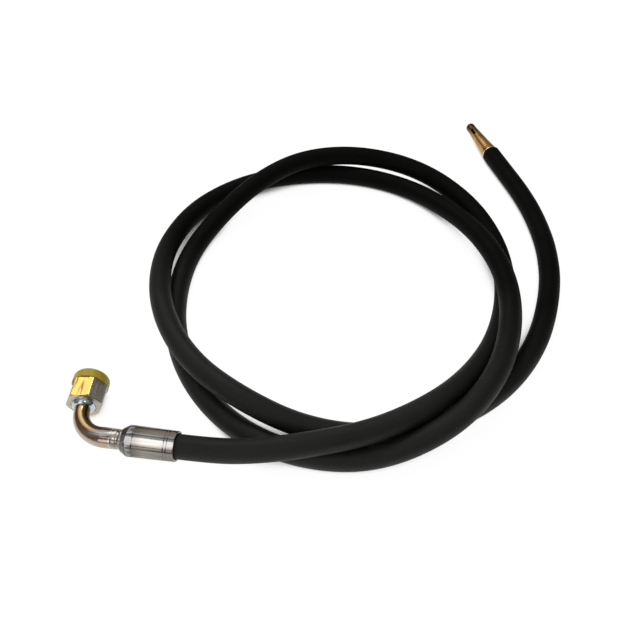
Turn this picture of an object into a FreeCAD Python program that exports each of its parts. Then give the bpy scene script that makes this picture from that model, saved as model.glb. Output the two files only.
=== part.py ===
import FreeCAD, Part
import math
import os
import re
import Sketcher

Vector = FreeCAD.Vector

# Coiled high-pressure hose. One end has a crimped swept elbow with a swivel nut and a thread cap,
# the other a push-in brass nozzle. Millimetres, +Z up. The origin is the centre of the nut's mouth.
# The fitting is drawn level, with the nut's axis on +Y, and then leans on its cap.

doc = FreeCAD.newDocument("HoseAssembly")
sheet = doc.addObject("Spreadsheet::Sheet", "Sizes")

sizes = {
    # hose, a smooth rubber cover over one wire braid
    "hose_diameter": 17.5,
    "cover_inside": 13.8,
    "braid_inside": 12.5,
    "hose_bore": 9.7,
    "layer_gap": 0.05,
    "floor_flat": 0.5,
    # swivel nut, M20 x 1.5 on a 24 mm hexagon
    "nut_across_flats": 24.0,
    "nut_corner_diameter": 27.3,
    "nut_length": 21.0,
    "nut_chamfer": 1.1,
    "collar_diameter": 23.8,
    "collar_length": 4.0,
    "collar_chamfer": 0.4,
    "thread_bore": 18.4,
    "thread_lead_in": 0.45,
    "thread_countersink": 0.78,
    "thread_length": 10.0,
    "relief_depth": 1.0,
    "relief_length": 3.4,
    "nut_rear_bore": 18.6,
    "nut_roll": -1.5,
    "wire_hole": 2.4,
    # lean of the whole fitting, which rests on the cap's rim with the mouth turned down
    "fitting_lean": 5.9,
    # cone nipple inside the nut
    "swivel_gap": 0.2,
    "cone_small": 13.2,
    "cone_length": 4.0,
    "cone_half_angle": 12.0,
    "shoulder_length": 5.6,
    "cone_set_back": 0.4,
    "nipple_bore": 8.0,
    "hub_diameter": 17.2,
    "hub_length": 3.6,
    "wire_diameter": 2.0,
    "wire_from_rear": 3.2,
    "wire_sweep": 345.0,
    "ring_section": 2.0,
    "ring_seat": 0.05,
    # bent tube between the nipple and the stem
    "elbow_diameter": 13.0,
    "elbow_bore": 8.0,
    "elbow_radius": 24.0,
    "elbow_angle": 82.0,
    "elbow_lead": 0.4,
    "elbow_run": 7.7,
    # hose stem
    "boss_length": 3.6,
    "stem_groove_diameter": 12.2,
    "stem_groove_width": 1.4,
    "stem_collar_diameter": 15.6,
    "stem_collar_width": 2.6,
    "stem_collar_flare": 0.9,
    "lock_diameter": 11.0,
    "stem_chamfer": 0.6,
    "stem_diameter": 9.5,
    "stem_bore": 7.0,
    "stem_grip": 31.0,
    "stem_plain_end": 3.28,
    "serration_pitch": 4.2,
    "serration_count": 6,
    "serration_depth": 0.45,
    # crimped ferrule
    "ferrule_length": 38.6,
    "ferrule_corner_diameter": 23.0,
    "ferrule_across_flats": 22.1,
    "ferrule_nose_diameter": 16.5,
    "ferrule_nose_length": 5.0,
    "ferrule_wall_front": 3.4,
    "ferrule_edge": 0.5,
    "ferrule_line_at": 9.4,
    "ferrule_line_depth": 0.3,
    "ferrule_line_width": 0.8,
    "ferrule_ring_at": 5.0,
    "ferrule_ring_pitch": 2.0,
    "ferrule_mouth_diameter": 18.6,
    "ferrule_mouth_length": 2.4,
    "crimp_flats": 8,
    "exit_run": 25.7,
    # thread cap
    "cap_diameter": 26.6,
    "cap_gap": 0.2,
    "cap_space": 3.2,
    "cap_face": 1.2,
    "cap_edge_radius": 3.2,
    "cap_inner_chamfer": 1.2,
    # brass nozzle
    "nozzle_length": 51.5,
    "nozzle_base_diameter": 15.8,
    "nozzle_flange": 1.0,
    "nozzle_step": 0.35,
    "nozzle_neck_diameter": 9.6,
    "nozzle_nose_length": 11.0,
    "nozzle_nose_diameter": 9.3,
    "nozzle_nose_step": 0.6,
    "nozzle_bore": 4.6,
    "nozzle_orifice": 2.2,
    "nozzle_bore_cone": 1.0,
    "nozzle_ring_depth": 0.25,
    "nozzle_ring_pitch": 1.1,
    "nozzle_ring_count": 4,
    "port_width": 2.6,
    "port_length": 10.0,
    "port_from_tip": 11.0,
    "port_count": 3,
    "port_roll": 42.0,
    "nozzle_grip": 24.0,
    "nozzle_tail_gap": 1.5,
    "nozzle_plain": 2.26,
    "barb_depth": 0.4,
    "barb_pitch": 4.4,
    "barb_count": 4,
}
for row, (alias, value) in enumerate(sizes.items(), start=1):
    sheet.set("A%d" % row, alias)
    sheet.set("B%d" % row, str(value))
    sheet.setAlias("B%d" % row, alias)
doc.recompute()


def size(alias):
    return float(sheet.get(alias))


def origin_plane(body, role):
    return next(part for part in body.Origin.OriginFeatures if part.Role == role)


def new_body(name):
    body = doc.addObject("PartDesign::Body", name)
    body.Label = name
    return body


def new_sketch(body, name, role):
    sketch = body.newObject("Sketcher::SketchObject", name)
    sketch.AttachmentSupport = (origin_plane(body, role), [""])
    sketch.MapMode = "FlatFace"
    return sketch


def linked(expression):
    # every size name in the text becomes a reference to the sheet
    def reference(word):
        name = word.group()
        return "Sizes." + name if name in sizes else name
    return re.sub(r"[a-z_]+", reference, expression)


def half_section(body, name, corners, role="XY_Plane"):
    # closed outline whose corners are (distance from the axis, place along the axis)
    sketch = new_sketch(body, name, role)
    texts = [(linked(across), linked(along)) for across, along in corners]
    spots = [Vector(float(sketch.evalExpression(across)), float(sketch.evalExpression(along)), 0)
             for across, along in texts]
    count = len(spots)
    for index in range(count):
        sketch.addGeometry(Part.LineSegment(spots[index], spots[(index + 1) % count]), False)
    for index in range(count):
        sketch.addConstraint(Sketcher.Constraint("Coincident", index, 2, (index + 1) % count, 1))
    for index, (spot, text) in enumerate(zip(spots, texts)):
        for kind, value, expression in (("DistanceX", spot.x, text[0]), ("DistanceY", spot.y, text[1])):
            number = sketch.addConstraint(Sketcher.Constraint(kind, -1, 1, index, 1, value))
            sketch.setExpression("Constraints[%d]" % number, expression)
    return sketch


def turned(body, corners):
    # solid of revolution about the body's own Y axis
    feature = body.newObject("PartDesign::Revolution", body.Name + "_turned")
    feature.Profile = half_section(body, body.Name + "_section", corners)
    feature.ReferenceAxis = (feature.Profile[0], ["V_Axis"])
    feature.Angle = 360
    return feature


def turned_piece(name, corners):
    body = new_body(name)
    turned(body, corners)
    return body


def ring_groove(body, name, corners, pitch=None, count=1):
    # groove turned round the Y axis, repeated along it
    feature = body.newObject("PartDesign::Groove", name)
    feature.Profile = half_section(body, name + "_section", corners)
    feature.ReferenceAxis = (feature.Profile[0], ["V_Axis"])
    feature.Angle = 360
    if count > 1:
        row = body.newObject("PartDesign::LinearPattern", name + "_row")
        row.Originals = [feature]
        row.Direction = (feature.Profile[0], ["V_Axis"])
        row.Occurrences = count
        row.setExpression("Length", linked("(%d - 1) * %s" % (count, pitch)))
        body.Tip = row
    return feature


def round_groove(body, name, radius, across, along):
    # seat of a round wire or ring, turned round the Y axis
    sketch = new_sketch(body, name + "_section", "XY_Plane")
    centre = Vector(float(sketch.evalExpression(linked(across))), float(sketch.evalExpression(linked(along))), 0)
    value = float(sketch.evalExpression(linked(radius)))
    sketch.addGeometry(Part.Circle(centre, Vector(0, 0, 1), value), False)
    bound = (
        (Sketcher.Constraint("Radius", 0, value), radius),
        (Sketcher.Constraint("DistanceX", -1, 1, 0, 3, centre.x), across),
        (Sketcher.Constraint("DistanceY", -1, 1, 0, 3, centre.y), along),
    )
    for constraint, expression in bound:
        number = sketch.addConstraint(constraint)
        sketch.setExpression("Constraints[%d]" % number, linked(expression))
    feature = body.newObject("PartDesign::Groove", name)
    feature.Profile = sketch
    feature.ReferenceAxis = (sketch, ["V_Axis"])
    feature.Angle = 360
    return feature


def flats(body, name, across, outside, start, length, count):
    # flats cut along the Y axis from start over length, count of them around it
    corners = (
        ("0 - (%s) / 2" % outside, "(%s) / 2" % across),
        ("(%s) / 2" % outside, "(%s) / 2" % across),
        ("(%s) / 2" % outside, "(%s)" % outside),
        ("0 - (%s) / 2" % outside, "(%s)" % outside),
    )
    sketch = half_section(body, name + "_outline", corners, "XZ_Plane")
    sketch.setExpression("AttachmentOffset.Base.z", linked("0 - (%s)" % start))
    cut = body.newObject("PartDesign::Pocket", name)
    cut.Profile = sketch
    cut.Type = 0
    cut.setExpression("Length", linked(length))
    around = body.newObject("PartDesign::PolarPattern", name + "_around")
    around.Originals = [cut]
    around.Axis = (sketch, ["N_Axis"])
    around.Angle = 360
    around.setExpression("Occurrences", linked(count))
    body.Tip = around
    return around


def place(piece, along=None, turn=None):
    # along moves the piece on the nut's axis, turn rolls it about that axis
    if turn is not None:
        piece.Placement = FreeCAD.Placement(Vector(0, 0, 0), FreeCAD.Rotation(Vector(0, 1, 0), 1))
        piece.setExpression("Placement.Rotation.Angle", linked(turn))
    if along is not None:
        piece.setExpression("Placement.Base.y", linked(along))


# Places that several pieces share, all worked out from the sizes.
elbow_tangent = "elbow_radius * tan(elbow_angle / 2)"
elbow_start = "(nut_length + hub_length)"
corner_back = "(%s + elbow_lead + %s)" % (elbow_start, elbow_tangent)
stem_head = "(boss_length + stem_groove_width + stem_collar_width)"
ferrule_reach = "(%s + elbow_run + %s)" % (elbow_tangent, stem_head)
swivel_radius = "(nut_rear_bore / 2 - swivel_gap)"
wire_ring_radius = "(nut_rear_bore / 2 - swivel_gap / 2)"
wire_place = "(wire_from_rear - nut_length)"
cone_front = "(thread_lead_in + thread_length + cone_set_back)"
ring_place = "(%s + cone_length / 2)" % cone_front
ring_radius = "(cone_small / 2 + cone_length / 2 * tan(cone_half_angle) + ring_section / 4)"
hose_cut = "(ferrule_wall_front + layer_gap)"
cap_front = "(cap_gap + cap_space + cap_face)"


def make_fitting():
    # holds the fitting's pieces, and leans them about the X axis
    fitting = doc.addObject("App::Part", "fitting")
    fitting.Placement = FreeCAD.Placement(Vector(0, 0, 0), FreeCAD.Rotation(Vector(-1, 0, 0), 1))
    fitting.setExpression("Placement.Rotation.Angle", linked("fitting_lean"))
    for name in (
        "thread_cap", "swivel_nut", "retaining_wire", "seat_o_ring", "cone_nipple", "elbow_tube", "hose_stem",
        "crimp_ferrule", "liner_at_ferrule", "braid_at_ferrule", "cover_at_ferrule",
    ):
        fitting.addObject(doc.getObject(name))


def on_tail(piece):
    # the stem, the ferrule and the hose's end share one axis, turned from the nut's by the elbow
    piece.Placement = FreeCAD.Placement(Vector(0, 0, 0), FreeCAD.Rotation(Vector(0, 0, -1), 90))
    piece.setExpression("Placement.Rotation.Angle", linked("180 - elbow_angle"))
    piece.setExpression("Placement.Base.x", linked("%s * sin(elbow_angle)" % ferrule_reach))
    piece.setExpression("Placement.Base.y", linked("0 - %s - %s * cos(elbow_angle)" % (corner_back, ferrule_reach)))
    return piece


def make_swivel_nut():
    body = new_body("swivel_nut")
    rim = "nut_corner_diameter / 2"
    face = "nut_corner_diameter / 2 - nut_chamfer"
    slope = "nut_chamfer * tan(30)"
    relief = "thread_bore / 2 + relief_depth"
    thread_end = "0 - thread_lead_in - thread_length"
    turned(body, (
        ("thread_bore / 2 + thread_countersink", "0"),
        ("collar_diameter / 2 - collar_chamfer", "0"),
        ("collar_diameter / 2", "0 - collar_chamfer"),
        ("collar_diameter / 2", "0 - collar_length"),
        (face, "0 - collar_length"),
        (rim, "0 - collar_length - %s" % slope),
        (rim, "%s - nut_length" % slope),
        (face, "0 - nut_length"),
        ("nut_rear_bore / 2", "0 - nut_length"),
        ("nut_rear_bore / 2", "%s - relief_length" % thread_end),
        (relief, "%s - relief_length" % thread_end),
        (relief, thread_end),
        ("thread_bore / 2", thread_end),
        ("thread_bore / 2", "0 - thread_lead_in"),
    ))
    round_groove(body, "wire_seat", "wire_diameter / 2 + swivel_gap", wire_ring_radius, wire_place)
    drill = new_sketch(body, "wire_hole_outline", "XY_Plane")
    drill.addGeometry(Part.Circle(Vector(0, -10, 0), Vector(0, 0, 1), 1), False)
    drill.addConstraint(Sketcher.Constraint("PointOnObject", 0, 3, -2))
    radius = drill.addConstraint(Sketcher.Constraint("Radius", 0, 1))
    drill.setExpression("Constraints[%d]" % radius, linked("wire_hole / 2"))
    level = drill.addConstraint(Sketcher.Constraint("DistanceY", -1, 1, 0, 3, -10))
    drill.setExpression("Constraints[%d]" % level, linked(wire_place))
    hole = body.newObject("PartDesign::Pocket", "wire_hole_cut")
    hole.Profile = drill
    hole.Type = 0
    hole.setExpression("Length", linked("nut_corner_diameter"))
    flats(body, "hexagon", "nut_across_flats", "nut_corner_diameter", "0 - nut_length",
          "nut_length - collar_length", "6")
    place(body, turn="nut_roll")
    return body


def make_thread_cap():
    body = new_body("thread_cap")
    inside = "collar_diameter / 2 + cap_gap"
    outline = [
        ("0", "cap_gap + cap_space"),
        (inside + " - cap_inner_chamfer", "cap_gap + cap_space"),
        (inside, "cap_gap + cap_space - cap_inner_chamfer"),
        (inside, "cap_gap - collar_length"),
        ("cap_diameter / 2", "cap_gap - collar_length"),
    ]
    for angle in (0, 30, 60, 90):
        outline.append(("cap_diameter / 2 - cap_edge_radius * (1 - cos(%d))" % angle,
                        "%s - cap_edge_radius * (1 - sin(%d))" % (cap_front, angle)))
    outline.append(("0", cap_front))
    turned(body, outline)
    place(body, turn="nut_roll")
    return body


def make_cone_nipple():
    shoulder_front = "0 - nut_length + shoulder_length"
    cone_back = "0 - %s - cone_length" % cone_front
    cone_large = "cone_small / 2 + cone_length * tan(cone_half_angle)"
    outline = [
        ("nipple_bore / 2", "0 - %s" % cone_front),
        ("cone_small / 2", "0 - %s" % cone_front),
        (cone_large, cone_back),
        (swivel_radius, shoulder_front),
        (swivel_radius, "0 - nut_length"),
    ]
    # the hub is a dome that runs out into the tube
    for angle in (0, 30, 55, 75, 90):
        outline.append(("elbow_diameter / 2 + (hub_diameter - elbow_diameter) / 2 * cos(%d)" % angle,
                        "0 - nut_length - hub_length * sin(%d)" % angle))
    outline.append(("nipple_bore / 2", "0 - nut_length - hub_length"))
    body = turned_piece("cone_nipple", outline)
    round_groove(body, "wire_track", "wire_diameter / 2 + ring_seat", wire_ring_radius, wire_place)
    round_groove(body, "ring_track", "ring_section / 2 + ring_seat", ring_radius, "0 - %s" % ring_place)
    return body


def make_ring(name, radius, section, along, sweep="360"):
    # round ring about the nut's axis
    ring = doc.addObject("Part::Torus", name)
    ring.Label = name
    ring.setExpression("Radius1", linked(radius))
    ring.setExpression("Radius2", linked(section))
    ring.setExpression("Angle3", linked(sweep))
    ring.Placement = FreeCAD.Placement(Vector(0, 0, 0), FreeCAD.Rotation(Vector(1, 0, 0), 90))
    ring.setExpression("Placement.Base.y", linked(along))
    return ring


def make_elbow_tube():
    # straight lead, one swept bend and a straight run, drawn as the line that the tube follows
    body = new_body("elbow_tube")
    path = new_sketch(body, "elbow_path", "XY_Plane")
    spots = [
        ("0", "0"),
        ("0", "0 - elbow_lead"),
        ("elbow_radius * (1 - cos(elbow_angle))", "0 - elbow_lead - elbow_radius * sin(elbow_angle)"),
        ("elbow_radius * (1 - cos(elbow_angle)) + elbow_run * sin(elbow_angle)",
         "0 - elbow_lead - elbow_radius * sin(elbow_angle) - elbow_run * cos(elbow_angle)"),
    ]
    corners = [Vector(float(path.evalExpression(linked(x))), float(path.evalExpression(linked(y))), 0)
               for x, y in spots]
    centre = Vector(size("elbow_radius"), corners[1].y, 0)
    bend = Part.Circle(centre, Vector(0, 0, 1), size("elbow_radius"))
    half_turn = math.pi
    path.addGeometry(Part.LineSegment(corners[0], corners[1]), False)
    path.addGeometry(Part.ArcOfCircle(bend, half_turn, half_turn + math.radians(size("elbow_angle"))), False)
    path.addGeometry(Part.LineSegment(corners[2], corners[3]), False)
    path.addConstraint(Sketcher.Constraint("Coincident", 0, 1, -1, 1))
    path.addConstraint(Sketcher.Constraint("Coincident", 0, 2, 1, 1))
    path.addConstraint(Sketcher.Constraint("Coincident", 1, 2, 2, 1))
    path.addConstraint(Sketcher.Constraint("Vertical", 0))
    bound = (
        ("DistanceY", (-1, 1, 0, 2, corners[1].y), "0 - elbow_lead"),
        ("DistanceX", (-1, 1, 1, 3, centre.x), "elbow_radius"),
        ("DistanceY", (-1, 1, 1, 3, centre.y), "0 - elbow_lead"),
        ("DistanceX", (-1, 1, 1, 2, corners[2].x), spots[2][0]),
        ("DistanceX", (-1, 1, 2, 2, corners[3].x), spots[3][0]),
        ("DistanceY", (-1, 1, 2, 2, corners[3].y), spots[3][1]),
    )
    for kind, points, expression in bound:
        number = path.addConstraint(Sketcher.Constraint(kind, *points))
        path.setExpression("Constraints[%d]" % number, linked(expression))
    section = new_sketch(body, "elbow_section", "XZ_Plane")
    for index, diameter in enumerate(("elbow_diameter", "elbow_bore")):
        section.addGeometry(Part.Circle(Vector(0, 0, 0), Vector(0, 0, 1), size(diameter) / 2), False)
        section.addConstraint(Sketcher.Constraint("Coincident", index, 3, -1, 1))
        number = section.addConstraint(Sketcher.Constraint("Radius", index, size(diameter) / 2))
        section.setExpression("Constraints[%d]" % number, linked(diameter + " / 2"))
    pipe = body.newObject("PartDesign::AdditivePipe", "elbow_sweep")
    pipe.Profile = section
    pipe.Spine = path
    place(body, along="0 - " + elbow_start)
    return body


def make_hose_stem():
    grip_end = "ferrule_wall_front + stem_grip"
    outline = [
        ("elbow_diameter / 2", "0 - " + stem_head),
        ("elbow_diameter / 2", "0 - stem_collar_width - stem_groove_width"),
        ("stem_groove_diameter / 2", "0 - stem_collar_width - stem_groove_width"),
        ("stem_groove_diameter / 2", "0 - stem_collar_width"),
        ("stem_collar_diameter / 2 - stem_collar_flare", "0 - stem_collar_width"),
        ("stem_collar_diameter / 2", "0 - stem_collar_width * 0.4"),
        ("stem_collar_diameter / 2", "0"),
        ("lock_diameter / 2", "0"),
        ("lock_diameter / 2", "ferrule_wall_front"),
        ("stem_diameter / 2", "ferrule_wall_front"),
    ]
    count = int(size("serration_count"))
    for step in range(1, count + 1):
        tooth = "%s - stem_plain_end - %.1f * serration_pitch" % (grip_end, count - step + 0.6)
        outline.append(("stem_diameter / 2", tooth))
        outline.append(("stem_diameter / 2 - serration_depth", tooth))
        outline.append(("stem_diameter / 2", tooth + " + serration_pitch * 0.6"))
    outline += [
        ("stem_diameter / 2", grip_end + " - stem_chamfer"),
        ("stem_diameter / 2 - stem_chamfer", grip_end),
        ("stem_bore / 2", grip_end),
        ("stem_bore / 2", "0 - " + stem_head),
    ]
    return on_tail(turned_piece("hose_stem", outline))


def make_crimp_ferrule():
    cavity = "hose_diameter / 2 + layer_gap"
    corner = "ferrule_corner_diameter / 2"
    scribed = corner + " - ferrule_line_depth"
    outline = [
        ("lock_diameter / 2 + layer_gap", "0"),
        ("ferrule_nose_diameter / 2", "0"),
        (corner + " - ferrule_edge", "ferrule_nose_length - ferrule_edge"),
        (corner, "ferrule_nose_length + ferrule_edge"),
    ]
    for line in ("ferrule_line_at", "ferrule_length - ferrule_ring_at - ferrule_ring_pitch",
                 "ferrule_length - ferrule_ring_at"):
        outline.append((corner, line + " - ferrule_line_width / 2"))
        outline.append((scribed, line))
        outline.append((corner, line + " + ferrule_line_width / 2"))
    outline += [
        (corner, "ferrule_length - ferrule_edge"),
        (corner + " - ferrule_edge", "ferrule_length"),
        ("ferrule_mouth_diameter / 2", "ferrule_length"),
        (cavity, "ferrule_length - ferrule_mouth_length"),
        (cavity, "ferrule_wall_front"),
        ("lock_diameter / 2 + layer_gap", "ferrule_wall_front"),
    ]
    body = turned_piece("crimp_ferrule", outline)
    flats(body, "crimp_marks", "ferrule_across_flats", "ferrule_corner_diameter", "0",
          "ferrule_length", "crimp_flats")
    return on_tail(body)


def press_flat(body, start, length):
    # flat where the hose's underside lies on the floor
    below = "floor_flat - hose_diameter / 2"
    sketch = half_section(body, body.Name + "_floor", (
        ("0 - hose_diameter / 2", below),
        ("hose_diameter / 2", below),
        ("hose_diameter / 2", "0 - hose_diameter"),
        ("0 - hose_diameter / 2", "0 - hose_diameter"),
    ), "XZ_Plane")
    sketch.setExpression("AttachmentOffset.Base.z", linked("0 - (%s)" % start))
    cut = body.newObject("PartDesign::Pocket", body.Name + "_pressed")
    cut.Profile = sketch
    cut.Type = 0
    cut.setExpression("Length", linked(length))


def make_layers(end, start, stop, carrier):
    # rubber liner, braided wire and rubber cover, one inside the next
    layers = (
        ("liner_at_" + end, "hose_bore", "braid_inside - 2 * layer_gap"),
        ("braid_at_" + end, "braid_inside", "cover_inside - 2 * layer_gap"),
        ("cover_at_" + end, "cover_inside", "hose_diameter"),
    )
    made = []
    for name, inside, outside in layers:
        body = turned_piece(name, (
            ("(%s) / 2" % inside, start),
            ("(%s) / 2" % outside, start),
            ("(%s) / 2" % outside, stop),
            ("(%s) / 2" % inside, stop),
        ))
        made.append(carrier(body))
    return made


# Route of the hose. Heights are those of its centre line above the floor that the cap's rim and the
# hose lie on. A strand on the floor is pressed flat there by the depth of floor_flat.
lean = math.radians(size("fitting_lean"))
rim_front = size("cap_gap") + size("cap_space") + size("cap_face") - size("cap_edge_radius")
floor = -size("cap_diameter") / 2 * math.cos(lean) - rim_front * math.sin(lean)
low = size("hose_diameter") / 2 - size("floor_flat")


def ferrule_frame():
    tail = doc.getObject("crimp_ferrule").getGlobalPlacement()
    return tail.multVec(Vector(0, size("ferrule_length"), 0)), tail.Rotation.multVec(Vector(0, 1, 0))


def lead_points():
    # out of the ferrule and up over the strands of the coil
    start, way = ferrule_frame()
    chosen = ((124.5, -61.6, 23.2), (157.1, -60.7, 28.4))
    return [start, start + way * size("exit_run")] + [Vector(x, y, floor + up) for x, y, up in chosen]


def coil_points():
    # loose loops about one centre, one station every twentieth degree, counter-clockwise from above
    centre = Vector(182.1, 97.3, 0)
    first_angle = -80
    stations_per_turn = 18
    step = 360 / stations_per_turn
    radii = (
        147.5, 142, 138, 141, 148, 159, 171, 176.5, 168, 154.5, 139.5, 134, 132.5, 130.5, 134, 140.5, 149, 155.5,
        160.5, 162, 155, 147.5, 143, 139.5, 145, 153, 155, 156.5, 162, 162, 153, 143.5, 138.5, 136, 134, 135,
        141, 148.5, 160.5, 171.5,
    )
    heights = (
        28, 28, 16, low, low, low, 10, 15.5, 23.5, 28.4, 25, 13.5, low, low, low, low, low, low,
        11, 27.2, 27.5, 27.2, 27, 24.5, 14, low, low, low, low, 9.5, 14.5, 23, 27.5, 27, 25, 12.5,
        low, low, low, low,
    )
    points = []
    for index, (radius, up) in enumerate(zip(radii, heights)):
        angle = math.radians(first_angle + step * index)
        reach = radius / math.cos(math.radians(step / 2))
        points.append(centre + Vector(reach * math.cos(angle), reach * math.sin(angle), floor + up))
    return points


def tail_points():
    # along the floor to where the nozzle's tail ends inside the hose
    chosen = ((369.6, 96.3), (377.4, 144.3), (375.6, 188.3), (369, 224.2), (357, 264.3))
    return [Vector(x, y, floor + low) for x, y in chosen]


def reaches(points):
    # how far each arc reaches along its two runs
    share = 0.45
    runs = [(after - before).Length for before, after in zip(points, points[1:])]
    return [share * min(pair) for pair in zip(runs, runs[1:])]


def path(points, reach):
    # straight runs joined by tangent arcs
    edges = []
    radii = []
    last = points[0]
    for before, corner, after, length in zip(points, points[1:], points[2:], reach):
        way_in = (corner - before).normalize()
        way_out = (after - corner).normalize()
        half_turn = way_in.getAngle(way_out) / 2
        radius = length / math.tan(half_turn)
        start = corner - way_in * length
        end = corner + way_out * length
        inward = (way_out - way_in).normalize()
        middle = corner + inward * (radius / math.cos(half_turn) - radius)
        edges.append(Part.LineSegment(last, start).toShape())
        edges.append(Part.Arc(start, middle, end).toShape())
        radii.append(radius)
        last = end
    edges.append(Part.LineSegment(last, points[-1]).toShape())
    return Part.Wire(edges), radii


def hose(name, wire, rests=False):
    # full-section tube along the wire, pressed flat where it lies on the floor
    radius = size("hose_diameter") / 2
    way = wire.Edges[0].tangentAt(wire.Edges[0].FirstParameter)
    start = wire.Edges[0].valueAt(wire.Edges[0].FirstParameter)
    section = Part.Wire(Part.makeCircle(radius, start, way))
    shape = wire.makePipeShell([section], True, False)
    expected = math.pi * radius ** 2 * wire.Length
    print("%s: length %.1f, volume %.0f, section x length %.0f" % (name, wire.Length, shape.Volume, expected))
    if rests:
        box = shape.BoundBox
        spare = size("hose_diameter")
        below = Part.makeBox(box.XLength + 2 * spare, box.YLength + 2 * spare, spare,
                             Vector(box.XMin - spare, box.YMin - spare, floor - spare))
        shape = shape.cut(below)
    piece = doc.addObject("Part::Feature", name)
    piece.Label = name
    piece.Shape = shape
    return piece


def make_hose():
    lead = lead_points()
    coil = coil_points()
    tail = tail_points()
    whole = lead + coil + tail
    reach = reaches(whole)
    seam_run = 1.0
    # the coil meets its neighbours on a run, square, and is straight there for one diameter
    lead_end = len(lead) - 1
    way = (coil[0] - lead[-1]).normalize()
    first_seam = lead[-1] + way * (reach[lead_end - 1] + seam_run)
    tail_start = len(lead) + len(coil)
    way = (tail[0] - coil[-1]).normalize()
    last_seam = tail[0] - way * (reach[tail_start - 1] + seam_run)
    straight = size("hose_diameter")
    coil_reach = reach[lead_end:tail_start - 1]
    coil_reach[0] = min(coil_reach[0], (coil[0] - first_seam).Length - straight)
    coil_reach[-1] = min(coil_reach[-1], (last_seam - coil[-1]).Length - straight)
    wires = []
    for name, points, arcs in (
        ("hose_lead", lead + [first_seam], reach[:lead_end]),
        ("hose_coil", [first_seam] + coil + [last_seam], coil_reach),
        ("hose_tail", [last_seam] + tail, reach[tail_start - 1:]),
    ):
        wire, radii = path(points, arcs)
        hose(name, wire, rests=name != "hose_lead")
        print("%s: arc radii %s" % (name, ", ".join("%.0f" % radius for radius in radii)))
        wires.append(wire)
    print_least_gap(wires)


def print_least_gap(wires):
    # distance between strands, on points that are further apart than this along the hose
    spacing = 2.0
    apart = 60.0
    points = []
    for wire in wires:
        points += wire.discretize(Distance=spacing)
    least = None
    skip = int(apart / spacing)
    for index, point in enumerate(points):
        for other in points[index + skip:]:
            distance = (other - point).Length
            if least is None or distance < least[0]:
                least = (distance, point)
    gap = least[0] - size("hose_diameter")
    print("hose: length %.1f, least gap to itself %.2f at %.0f, %.0f" % (
        sum(wire.Length for wire in wires), gap, least[1].x, least[1].y))


def nozzle_frame():
    # origin at the hose's end, +Y along its last run
    before, end = tail_points()[-2:]
    way = (end - before).normalize()
    turn = FreeCAD.Rotation(Vector(0, 1, 0), way)
    return FreeCAD.Placement(end + way * size("nozzle_grip"), turn)


def on_nozzle(piece):
    piece.Placement = nozzle_frame()
    return piece


def make_nozzle_body():
    nose = "nozzle_length - nozzle_nose_length"
    outline = [
        ("nozzle_bore / 2", "nozzle_tail_gap - nozzle_grip"),
        ("stem_diameter / 2 - stem_chamfer", "nozzle_tail_gap - nozzle_grip"),
        ("stem_diameter / 2", "nozzle_tail_gap - nozzle_grip + stem_chamfer"),
    ]
    count = int(size("barb_count"))
    for step in range(1, count + 1):
        tooth = "0 - nozzle_plain - %.1f * barb_pitch" % (count - step + 0.6)
        outline.append(("stem_diameter / 2", tooth))
        outline.append(("stem_diameter / 2 - barb_depth", tooth))
        outline.append(("stem_diameter / 2", tooth + " + barb_pitch * 0.6"))
    outline += [
        ("stem_diameter / 2", "0"),
        ("nozzle_base_diameter / 2", "0"),
        ("nozzle_base_diameter / 2", "nozzle_flange"),
        ("nozzle_base_diameter / 2 - nozzle_step", "nozzle_flange"),
        ("nozzle_neck_diameter / 2", nose),
        ("nozzle_nose_diameter / 2", nose + " + nozzle_nose_step"),
        ("nozzle_nose_diameter / 2", "nozzle_length - nozzle_nose_diameter / 2"),
        ("nozzle_nose_diameter / 2 * cos(25)", "nozzle_length - nozzle_nose_diameter / 2 * (1 - sin(25))"),
        ("nozzle_nose_diameter / 2 * cos(50)", "nozzle_length - nozzle_nose_diameter / 2 * (1 - sin(50))"),
        ("nozzle_orifice / 2", "nozzle_length"),
        ("nozzle_orifice / 2", "nozzle_length - nozzle_nose_diameter"),
        ("nozzle_bore / 2", "nozzle_length - nozzle_nose_diameter - nozzle_bore_cone"),
    ]
    body = turned_piece("nozzle_body", outline)
    ring = "nozzle_flange + nozzle_ring_pitch"
    ring_groove(body, "base_ring", (
        ("nozzle_base_diameter / 2 - nozzle_step - nozzle_ring_depth", ring),
        ("nozzle_base_diameter / 2", ring + " - nozzle_ring_pitch * 0.35"),
        ("nozzle_base_diameter / 2", ring + " + nozzle_ring_pitch * 0.35"),
    ), "nozzle_ring_pitch", int(size("nozzle_ring_count")))
    port = half_section(body, "port_outline", (
        ("0 - port_width / 2", "nozzle_length - port_from_tip - port_length"),
        ("port_width / 2", "nozzle_length - port_from_tip - port_length"),
        ("port_width / 2", "nozzle_length - port_from_tip"),
        ("0 - port_width / 2", "nozzle_length - port_from_tip"),
    ))
    cut = body.newObject("PartDesign::Pocket", "port_cut")
    cut.Profile = port
    cut.Type = 0
    cut.Reversed = True
    cut.setExpression("Length", linked("nozzle_nose_diameter"))
    around = body.newObject("PartDesign::PolarPattern", "ports")
    around.Originals = [cut]
    around.Axis = (port, ["V_Axis"])
    around.Angle = 360
    around.setExpression("Occurrences", linked("port_count"))
    body.Tip = around
    on_nozzle(body)
    # the first port faces up and to the side
    body.Placement = body.Placement.multiply(
        FreeCAD.Placement(Vector(0, 0, 0), FreeCAD.Rotation(Vector(0, 1, 0), -size("port_roll"))))
    return body


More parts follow.
